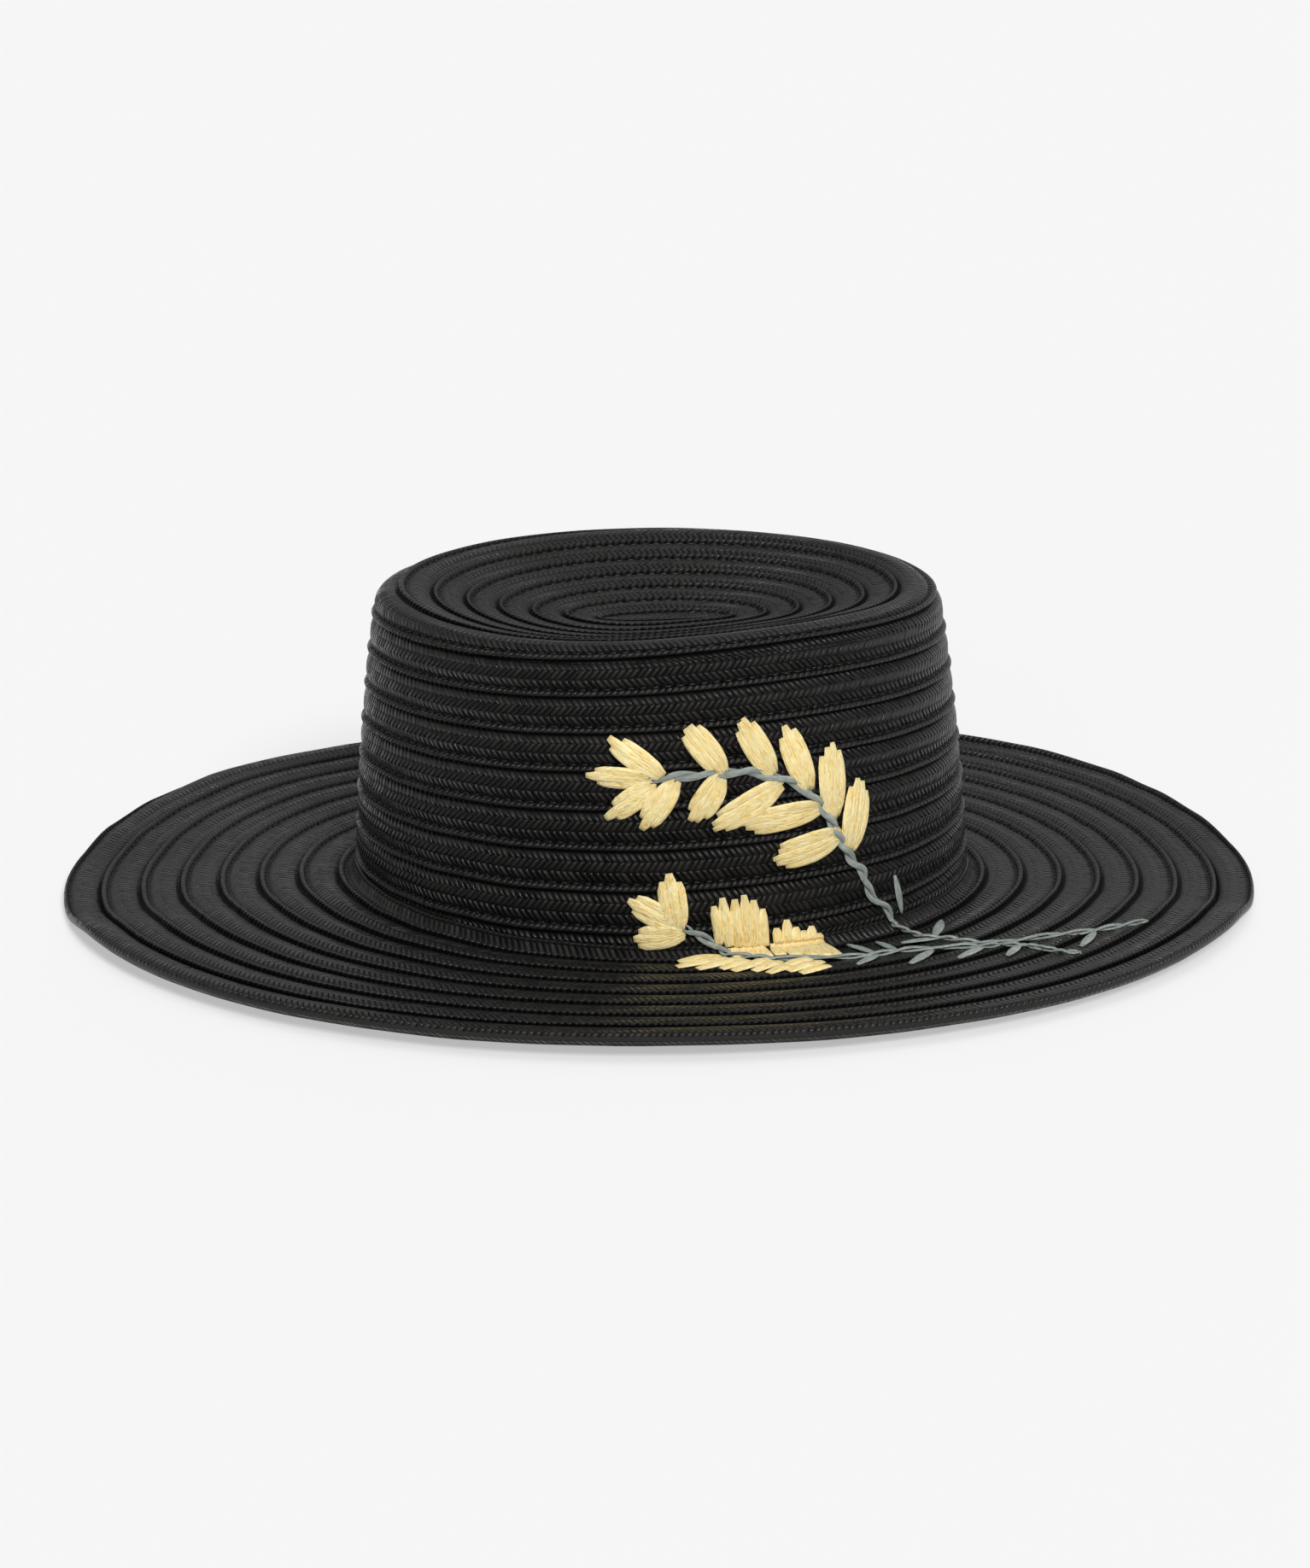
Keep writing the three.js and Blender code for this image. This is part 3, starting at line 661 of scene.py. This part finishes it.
def smooth_path(knots, count):
    """Points spread evenly along a smooth curve through the knots."""
    knots = np.asarray(knots, float)
    n = len(knots)
    if n == 2:
        t = np.linspace(0, 1, count)[:, None]
        return knots[0] * (1 - t) + knots[1] * t
    dense = []
    for k in range(n - 1):
        p0 = knots[max(k - 1, 0)]
        p1, p2 = knots[k], knots[k + 1]
        p3 = knots[min(k + 2, n - 1)]
        for t in np.linspace(0, 1, 12, endpoint=False):
            dense.append(0.5 * ((2 * p1) + (p2 - p0) * t + (2 * p0 - 5 * p1 + 4 * p2 - p3) * t ** 2
                                + (3 * p1 - p0 - 3 * p2 + p3) * t ** 3))
    dense.append(knots[-1])
    dense = np.array(dense)
    run = np.concatenate([[0], np.cumsum(np.linalg.norm(np.diff(dense, axis=0), axis=1))])
    want = np.linspace(0, run[-1], count)
    return np.stack([np.interp(want, run, dense[:, c]) for c in range(dense.shape[1])], -1)


class Cloth:
    """Collects ribbons that lie on the hat into one piece."""

    def __init__(self):
        self.points = []
        self.faces = []
        self.uvs = []

    def ribbon(self, path, width_at, crown_at, lift_at, across, ridges, seed):
        """A closed flat strand: path is a list of (bearing, level), widths and heights in millimetres.

        crown_at gives how far the strand swells up, and lift_at its rise and its sway to the side.
        """
        rng = random.Random(seed)
        phase = rng.uniform(0, 6.28)  # of the ridges along the strand
        count = len(path)
        base = len(self.points)
        centres = [hat_point(b, l, 0.0) for b, l in path]
        ups = [hat_point(b, l, 1.0) - hat_point(b, l, 0.0) for b, l in path]
        run = 0.0
        runs = []
        ring = 2 * across
        for i in range(count):
            a = centres[max(0, i - 1)]
            c = centres[min(count - 1, i + 1)]
            if i:
                run += float(np.linalg.norm(centres[i] - centres[i - 1]))
            runs.append(run)
            along = (c - a) / max(np.linalg.norm(c - a), 1e-9)
            up = ups[i] / np.linalg.norm(ups[i])
            side = np.cross(along, up)
            t = i / (count - 1)
            width = width_at(t)
            crown = crown_at(t)
            lift, sway = lift_at(t)
            middle = centres[i] + up * lift + side * sway
            for k in range(across):
                x = -1 + 2 * k / (across - 1)
                ridge = 0.16 * math.cos(ridges * math.pi * x + phase) * (1 - x * x)
                z = crown * (math.sqrt(max(0.0, 1 - x * x)) + ridge)
                self.points.append(middle + side * (x * width / 2) + up * z)
            for k in range(across):
                x = 1 - 2 * k / (across - 1)
                z = -0.35 * crown * math.sqrt(max(0.0, 1 - x * x)) - 0.02
                self.points.append(middle + side * (x * width / 2) + up * z)
        offset = rng.uniform(0, 50)
        for i in range(count - 1):
            for k in range(ring):
                n = (k + 1) % ring
                a = base + i * ring + k
                b = base + i * ring + n
                self.faces.append([a, b, b + ring, a + ring])
                ka, kb = k / across, (k + 1) / across
                self.uvs.append([
                    (runs[i] + offset, ka + offset), (runs[i] + offset, kb + offset),
                    (runs[i + 1] + offset, kb + offset), (runs[i + 1] + offset, ka + offset),
                ])
        for i, turn in ((0, 1), (count - 1, 0)):
            first = base + i * ring
            for k in range(across - 1):
                a, b = first + k, first + k + 1
                c, d = first + ring - 2 - k, first + ring - 1 - k
                face = [a, d, c, b] if turn else [a, b, c, d]
                self.faces.append(face)
                self.uvs.append([(runs[i] + offset, offset)] * 4)

    def finish(self, name, node, material):
        piece = add_mesh(name, self.points, self.faces, material, (node,) if node else (),
                         np.array(self.uvs), "stitch")
        weld(piece)


# A leaf's strands start this far inside the stem, in millimetres, squeezed to ROOT_WIDTH of their spread.
# They overlap, so together they are STRAND_SWELL times as wide as the leaf.
ROOT_REACH = 2.4
ROOT_WIDTH = 0.5
STRAND_SWELL = 1.55
STRAND_ACROSS = 9


def arc(t, start=0.0, span=1.0):
    """Rises from 0 to 1 and falls back along a strand."""
    return math.sin(math.pi * min(1, start + span * t))


def leaf(name, node, b0, l0, b1, l1, width, strands, seed):
    """A leaf of satin stitches: strands side by side that meet at the stem and end unevenly."""
    rng = random.Random(seed)
    cloth = Cloth()
    length = float(np.linalg.norm(hat_point(b1, l1, 0) - hat_point(b0, l0, 0)))
    b0, l0 = mix(b0, b1, -ROOT_REACH / length), mix(l0, l1, -ROOT_REACH / length)
    for s in range(strands):
        x = -1 + 2 * s / (strands - 1)
        reach = 1 - 0.14 * abs(x) ** 1.5 - rng.uniform(0, 0.10)
        start = rng.uniform(0.0, 0.05)
        knots = []
        for t in np.linspace(0, 1, 15):
            share = start + (reach - start) * t
            knots.append((mix(b0, b1, share), mix(l0, l1, share)))
        strand_width = STRAND_SWELL * width / strands
        blunt = rng.uniform(0.6, 0.8)
        tall = rng.uniform(0.85, 1.1)
        wave = rng.uniform(-0.25, 0.25)

        def width_at(t, w=strand_width, blunt=blunt):
            body = math.sin(math.pi * min(max(0.12 + 0.76 * t, 0), 1)) ** 0.3
            tip_cut = 1 - (1 - blunt) * smooth((t - 0.86) / 0.14)
            root_cut = 0.62 + 0.38 * smooth(t / 0.22)
            return float(w * body * tip_cut * root_cut)

        def crown_at(t, tall=tall):
            return float(tall * (0.25 + 0.75 * arc(t, 0.06, 0.9) ** 0.6))

        def lift_at(t, x=x, w=strand_width, wave=wave):
            fan = mix(ROOT_WIDTH, 1.0, math.sin(math.pi / 2 * min(1, t * 1.7)))
            fan *= 1 - 0.05 * smooth((t - 0.75) / 0.25)
            sway = x * (width - 0.8 * w) / 2 * fan + wave * math.sin(3.1 * t)
            arch = 1.25 + 0.75 * arc(t, 0.05, 0.9) ** 0.7 - 0.12 * abs(x)
            return float(arch), float(sway)

        cloth.ribbon(knots, width_at, crown_at, lift_at, STRAND_ACROSS, 3 + (seed + s) % 2, seed * 17 + s)
    cloth.finish(name, node, MATERIAL_LEAF)


# Leaves of the upper stem: root and tip as bearing and height up the crown, width, strands.
UPPER_LEAVES = [
    (-91.0, 61.2, -100.6, 73.0, 7.4, 3),
    (-93.4, 59.4, -105.4, 59.8, 6.6, 3),
    (-92.6, 56.8, -100.8, 46.2, 7.4, 3),
    (-88.4, 57.4, -94.4, 42.6, 7.6, 3),
    (-79.6, 62.4, -86.2, 78.2, 8.6, 4),
    (-79.8, 58.4, -85.2, 44.6, 8.6, 4),
    (-69.8, 60.6, -75.4, 78.2, 8.4, 4),
    (-68.2, 55.2, -82.0, 42.6, 8.4, 4),
    (-62.4, 54.2, -66.8, 75.4, 8.0, 3),
    (-60.6, 46.2, -77.0, 43.0, 8.4, 4),
    (-57.2, 43.6, -57.0, 67.6, 9.2, 4),
    (-56.8, 36.2, -70.8, 31.0, 9.8, 5),
    (-53.6, 32.6, -50.2, 54.4, 9.2, 4),
]
# The fan at the tip of the lower stem, in the same columns.
LOWER_LEAVES = [
    (-88.0, 11.4, -89.4, 30.4, 8.6, 3),
    (-88.2, 11.6, -97.4, 20.6, 7.8, 3),
    (-87.6, 8.6, -96.6, 6.6, 7.8, 3),
]

for number, row in enumerate(UPPER_LEAVES, 1):
    leaf(f"raffia_upper_leaf_{number}", f"upper_leaf_{number}", *row, number)
for number, row in enumerate(LOWER_LEAVES, 1):
    leaf(f"raffia_lower_leaf_{number}", f"lower_leaf_{number}", *row, 40 + number)


def straight_stitch(
    cloth, stitch, samples, width_at, crown_at, lift_at, seed, across=STRAND_ACROSS, ridges=3
):
    """One strand between two ends, given as bearing and level. width_at is a share of its width."""
    b0, l0, b1, l1, width = stitch
    path = smooth_path([(b0, l0), (mix(b0, b1, 0.5), mix(l0, l1, 0.5)), (b1, l1)], samples)
    cloth.ribbon(path, lambda t: float(width * width_at(t)), crown_at, lift_at, across, ridges, seed)


# Stitches that stand on the crown just above the brim, each a strand with its own foot and tip:
# both ends as bearing and level, and a width.
STANDING_STITCHES = {
    "lower_leaf_4": [
        (-80.4, 4.4, -81.2, 17.6, 4.0), (-78.6, 3.0, -79.6, 20.2, 4.2),
        (-76.9, 2.2, -77.4, 19.4, 4.2),
    ],
    "lower_leaf_5": [
        (-75.2, 1.6, -75.6, 20.6, 4.2), (-73.6, 1.4, -73.8, 18.6, 4.2),
        (-72.1, 1.2, -72.2, 15.4, 4.0),
    ],
    "lower_leaf_6": [
        (-69.6, 1.6, -69.6, 8.4, 4.0), (-67.8, 1.4, -67.5, 10.8, 4.2),
        (-66.0, 1.2, -65.8, 8.0, 4.0),
    ],
    "lower_leaf_7": [
        (-64.4, 1.2, -64.2, 6.4, 3.8), (-62.9, 1.0, -62.6, 7.6, 4.0),
        (-61.4, 0.8, -61.2, 4.8, 3.8),
    ],
}
for number, (node, stitches) in enumerate(STANDING_STITCHES.items()):
    cloth = Cloth()
    for k, stitch in enumerate(stitches):
        straight_stitch(
            cloth, stitch, 13,
            lambda t: 0.88 * (0.8 + 0.2 * arc(t)) * (1 - 0.35 * smooth((t - 0.8) / 0.2)),
            lambda t: 0.55 + 0.75 * arc(t, 0.08, 0.88),
            lambda t, k=k: (1.35 + 0.6 * arc(t, 0.08, 0.9), 0.2 * math.sin(4 * t + k)),
            300 + 10 * number + k,
        )
    cloth.finish(f"raffia_{node}", node, MATERIAL_LEAF)

# Stitches that lie on the brim, in the same columns.
LYING_STITCHES = {
    "lower_leaf_8": [
        (-80.5, -4.5, -88.0, -9.0, 4.2), (-79.6, -7.5, -88.4, -15.5, 4.6),
        (-78.8, -11.0, -85.2, -19.0, 4.4),
    ],
    "lower_leaf_9": [
        (-77.0, -9.5, -82.4, -16.0, 4.0), (-76.2, -13.0, -81.6, -20.0, 4.4),
        (-75.4, -17.0, -80.0, -23.5, 4.2),
    ],
    "lower_leaf_10": [
        (-72.4, -12.5, -78.0, -20.0, 4.2), (-71.6, -17.0, -77.0, -25.0, 4.6),
        (-70.8, -22.0, -75.2, -29.0, 4.4),
    ],
    "lower_leaf_11": [
        (-66.4, -17.5, -73.0, -23.5, 4.2), (-65.6, -22.5, -72.2, -28.5, 4.6),
        (-65.6, -28.0, -70.8, -32.5, 4.4),
    ],
}
for number, (node, stitches) in enumerate(LYING_STITCHES.items()):
    cloth = Cloth()
    for k, stitch in enumerate(stitches):
        straight_stitch(
            cloth, stitch, 13,
            lambda t: 0.7 + 0.3 * arc(t),
            lambda t: 0.3 + 0.5 * arc(t, 0.08, 0.88),
            lambda t, k=k: (1.3 + 0.35 * arc(t), 0.2 * math.sin(4 * t + k)),
            400 + 10 * number + k,
        )
    cloth.finish(f"raffia_{node}", node, MATERIAL_LEAF)

# Short stitches that carry the standing ones on to the brim below them.
FOOT_STITCHES = [
    (-78.0, 2.4, -77.4, -7.0, 4.6), (-75.6, 2.4, -75.0, -8.5, 4.8), (-73.2, 2.4, -72.6, -9.5, 4.6),
    (-69.9, 2.4, -70.2, -9.0, 4.6), (-67.6, 2.4, -67.8, -11.5, 4.8), (-65.4, 2.4, -65.6, -14.0, 4.8),
    (-63.3, 2.4, -63.6, -16.5, 4.8), (-61.4, 2.4, -62.0, -18.5, 4.4),
]
cloth = Cloth()
for k, stitch in enumerate(FOOT_STITCHES):
    straight_stitch(
        cloth, stitch, 11,
        lambda t: 0.85 + 0.15 * arc(t),
        lambda t: 0.35 + 0.35 * arc(t, 0.1, 0.85),
        lambda t, k=k: (1.3 + 0.3 * arc(t), 0.15 * math.sin(5 * t + k)),
        500 + k,
    )
cloth.finish("raffia_foot_stitches", None, MATERIAL_LEAF)


def twisted_stem(name, node, knots, samples, width, turns, seed, far_width, sway=0.95):
    """A stem of two strands twisted unevenly round each other along the knots."""
    cloth = Cloth()
    path = smooth_path(knots, samples)

    def slim(t):
        return float(mix(1.0, far_width, smooth((t - 0.35) / 0.25)))

    def angle_at(t, s):
        return FULL_TURN * turns * t + 0.9 * math.sin(19 * t) + math.pi * s

    for s in range(2):
        def lift_at(t, s=s):
            angle = angle_at(t, s)
            return float(1.7 + 0.6 * math.sin(angle)), float(sway * slim(t) * math.cos(angle))

        def width_at(t, s=s):
            taper = smooth(t / 0.03) * smooth((1 - t) / 0.04) * 0.7 + 0.3
            return float(width * slim(t) * taper * (0.8 + 0.2 * math.sin(angle_at(t, s))))

        cloth.ribbon(path, width_at, lambda t: 0.5, lift_at, 6, 2, seed + s)
    cloth.finish(name, node, MATERIAL_STEM)


# Stems from their tips to their feet: bearing and level.
UPPER_STEM = [
    (-92.6, 59.2), (-88.0, 60.3), (-83.0, 60.6), (-78.0, 60.9), (-73.4, 60.6), (-70.6, 58.9), (-68.0, 57.8),
    (-65.5, 56.0), (-62.8, 52.6), (-60.4, 48.6), (-58.4, 43.0), (-56.6, 37.0), (-55.0, 32.0), (-53.6, 27.4),
    (-51.2, 22.6), (-50.3, 18.0), (-48.9, 13.0), (-45.8, 8.6), (-44.4, 4.0), (-44.2, -3.0), (-44.8, -9.0),
    (-45.3, -15.0), (-45.0, -21.0), (-43.4, -25.6), (-42.8, -32.0), (-41.8, -38.4), (-40.4, -42.6),
    (-38.0, -46.0), (-35.0, -50.0), (-32.6, -54.6), (-30.4, -59.4), (-28.0, -63.6), (-25.6, -68.0),
    (-23.6, -72.0),
]
LOWER_STEM = [
    (-86.8, 11.0), (-84.4, 8.4), (-82.2, 5.8), (-80.6, 3.2), (-79.0, -3.0), (-76.6, -7.4), (-73.6, -12.4),
    (-70.2, -15.4), (-66.6, -17.6), (-62.4, -21.4), (-59.0, -23.8), (-55.8, -25.0), (-52.8, -26.0),
    (-49.6, -29.4),
    (-47.2, -33.0), (-44.8, -36.0), (-43.0, -40.6), (-41.0, -44.0),
]
STEM_TAIL = [(-40.8, -44.6), (-39.4, -49.0), (-39.0, -54.8), (-38.7, -61.0), (-37.7, -71.0)]
twisted_stem("raffia_upper_stem", "upper_stem", UPPER_STEM, 260, 2.3, 11, 700, 0.62)
twisted_stem("raffia_lower_stem", "lower_stem", LOWER_STEM, 150, 1.9, 5, 710, 0.75)
twisted_stem("raffia_stem_tail", "stem_tail", STEM_TAIL, 40, 1.3, 0.6, 720, 0.8, 0.5)

# Small single stitches beside the stems: both ends and a width.
TWIGS = [
    (-42.8, 18.2, -41.2, 4.6, 2.2),
    (-36.4, -11.0, -43.8, -20.4, 2.8),
    (-50.0, -18.4, -44.2, -23.0, 2.4),
    (-57.6, -8.6, -56.6, -24.0, 2.4),
    (-52.8, -12.0, -53.2, -26.0, 2.2),
    (-61.8, -31.0, -56.4, -24.6, 2.6),
    (-55.4, -39.6, -48.8, -31.6, 3.0),
    (-48.8, -44.4, -42.4, -40.4, 2.8),
    (-43.6, -53.6, -38.8, -48.4, 2.6),
    (-35.4, -66.0, -29.8, -61.6, 2.6),
]
for number, twig in enumerate(TWIGS, 1):
    cloth = Cloth()
    for s, sign in enumerate((1, -1)):
        straight_stitch(
            cloth, twig, 11,
            lambda t: 0.85 * (0.35 + 0.65 * arc(t, 0.12, 0.8)),
            lambda t: 0.4,
            lambda t, apart=0.2 * sign * twig[4]: (1.35 + 0.25 * arc(t), apart * arc(t)),
            800 + 10 * number + s, 7, 2,
        )
    cloth.finish(f"raffia_twig_{number}", f"twig_{number}", MATERIAL_STEM)


# The floor is 28 m wide and lies 0.2 mm below the hat. These lengths are in metres.
FLOOR_REACH = 14.0
FLOOR_GAP = 0.0002
CAMERA_REACH = 60.0


def add_floor():
    mesh = bpy.data.meshes.new("floor")
    corners = [(x * FLOOR_REACH, y * FLOOR_REACH, 0) for x, y in ((-1, -1), (1, -1), (1, 1), (-1, 1))]
    mesh.from_pydata(corners, [], [(0, 1, 2, 3)])
    floor = bpy.data.objects.new("floor", mesh)
    floor.location.z = -FLOOR_GAP
    bpy.context.scene.collection.objects.link(floor)
    material, shader = new_material("pale_floor")
    shader.inputs["Base Color"].default_value = (0.42, 0.42, 0.42, 1)
    shader.inputs["Emission Color"].default_value = (1, 1, 1, 1)
    shader.inputs["Emission Strength"].default_value = 0.45
    shader.inputs["Roughness"].default_value = 0.9
    shader.inputs["Specular IOR Level"].default_value = 0.1
    mesh.materials.append(material)


def add_sun(name, towards, strength, angle):
    data = bpy.data.lights.new(name, "SUN")
    data.energy = strength
    data.angle = math.radians(angle)
    light = bpy.data.objects.new(name, data)
    light.rotation_euler = Vector(towards).to_track_quat("-Z", "Y").to_euler()
    bpy.context.scene.collection.objects.link(light)


add_floor()
world = bpy.data.worlds.new("soft_studio")
world.use_nodes = True
world_nodes = world.node_tree.nodes
world_links = world.node_tree.links
background = world_nodes["Background"]
background.inputs[0].default_value = (1.0, 1.0, 1.0, 1)
# The room is bright behind the hat, dark in front of it and dimmer on the left: axis, the range of the
# direction's part along it, and the light at both ends of that range.
SKY_RANGES = [(1, -0.3, 0.7, 0.02, 0.5), (0, -1.0, 0.3, 0.45, 1.0)]
sky = world_nodes.new("ShaderNodeTexCoord")
sky_axes = world_nodes.new("ShaderNodeSeparateXYZ")
world_links.new(sky.outputs["Generated"], sky_axes.inputs[0])
sky_light = world_nodes.new("ShaderNodeMath")
sky_light.operation = "MULTIPLY"
for factor, (axis, low, high, dark, bright) in zip(sky_light.inputs, SKY_RANGES):
    sky_range = world_nodes.new("ShaderNodeMapRange")
    for socket, value in zip(sky_range.inputs, (0.0, low, high, dark, bright)):
        socket.default_value = value
    world_links.new(sky_axes.outputs[axis], sky_range.inputs[0])
    world_links.new(sky_range.outputs[0], factor)
world_links.new(sky_light.outputs[0], background.inputs[1])
bpy.context.scene.world = world
add_sun("key", (-0.25, 0.76, -0.62), 2.9, 20)
add_sun("front", (0.15, 0.95, -0.25), 0.9, 50)
add_sun("top", (0.0, 0.1, -1.0), 1.0, 60)
bpy.context.scene.view_settings.view_transform = "Standard"

# Camera: 1.8 m away, 16 degrees above level, on the photograph's frame of 1534 by 1836 pixels.
DISTANCE = 1.8
ELEVATION = math.radians(16.0)
YAW = math.radians(-0.8)
PAN = math.radians(-0.05)
TILT = math.radians(-0.25)
FOCAL_PIXELS = 6330
FRAME_HEIGHT_PIXELS = 1836
SENSOR = 36.0
ROLL = math.radians(0.32)
AIM = Vector((0.00045, 0.0, 0.0433))
level_back = Vector((math.sin(YAW), -math.cos(YAW), 0))
back = level_back * math.cos(ELEVATION) + Vector((0, 0, math.sin(ELEVATION)))
right = Vector((math.cos(YAW), math.sin(YAW), 0))
up = back.cross(right)
turned = (-back * math.cos(PAN) + right * math.sin(PAN)).normalized()
right = turned.cross(up).normalized()
look = (turned * math.cos(TILT) + up * math.sin(TILT)).normalized()
up = right.cross(look).normalized()
up, right = up * math.cos(ROLL) + right * math.sin(ROLL), right * math.cos(ROLL) - up * math.sin(ROLL)
camera_data = bpy.data.cameras.new("camera")
camera_data.sensor_fit = "AUTO"
camera_data.sensor_width = SENSOR
camera_data.lens = FOCAL_PIXELS * SENSOR / FRAME_HEIGHT_PIXELS
camera_data.clip_end = CAMERA_REACH
camera = bpy.data.objects.new("camera", camera_data)
axes = Matrix((right, up, -look)).transposed()
camera.matrix_world = Matrix.Translation(AIM + back * DISTANCE) @ axes.to_4x4()
bpy.context.scene.collection.objects.link(camera)
bpy.context.scene.camera = camera
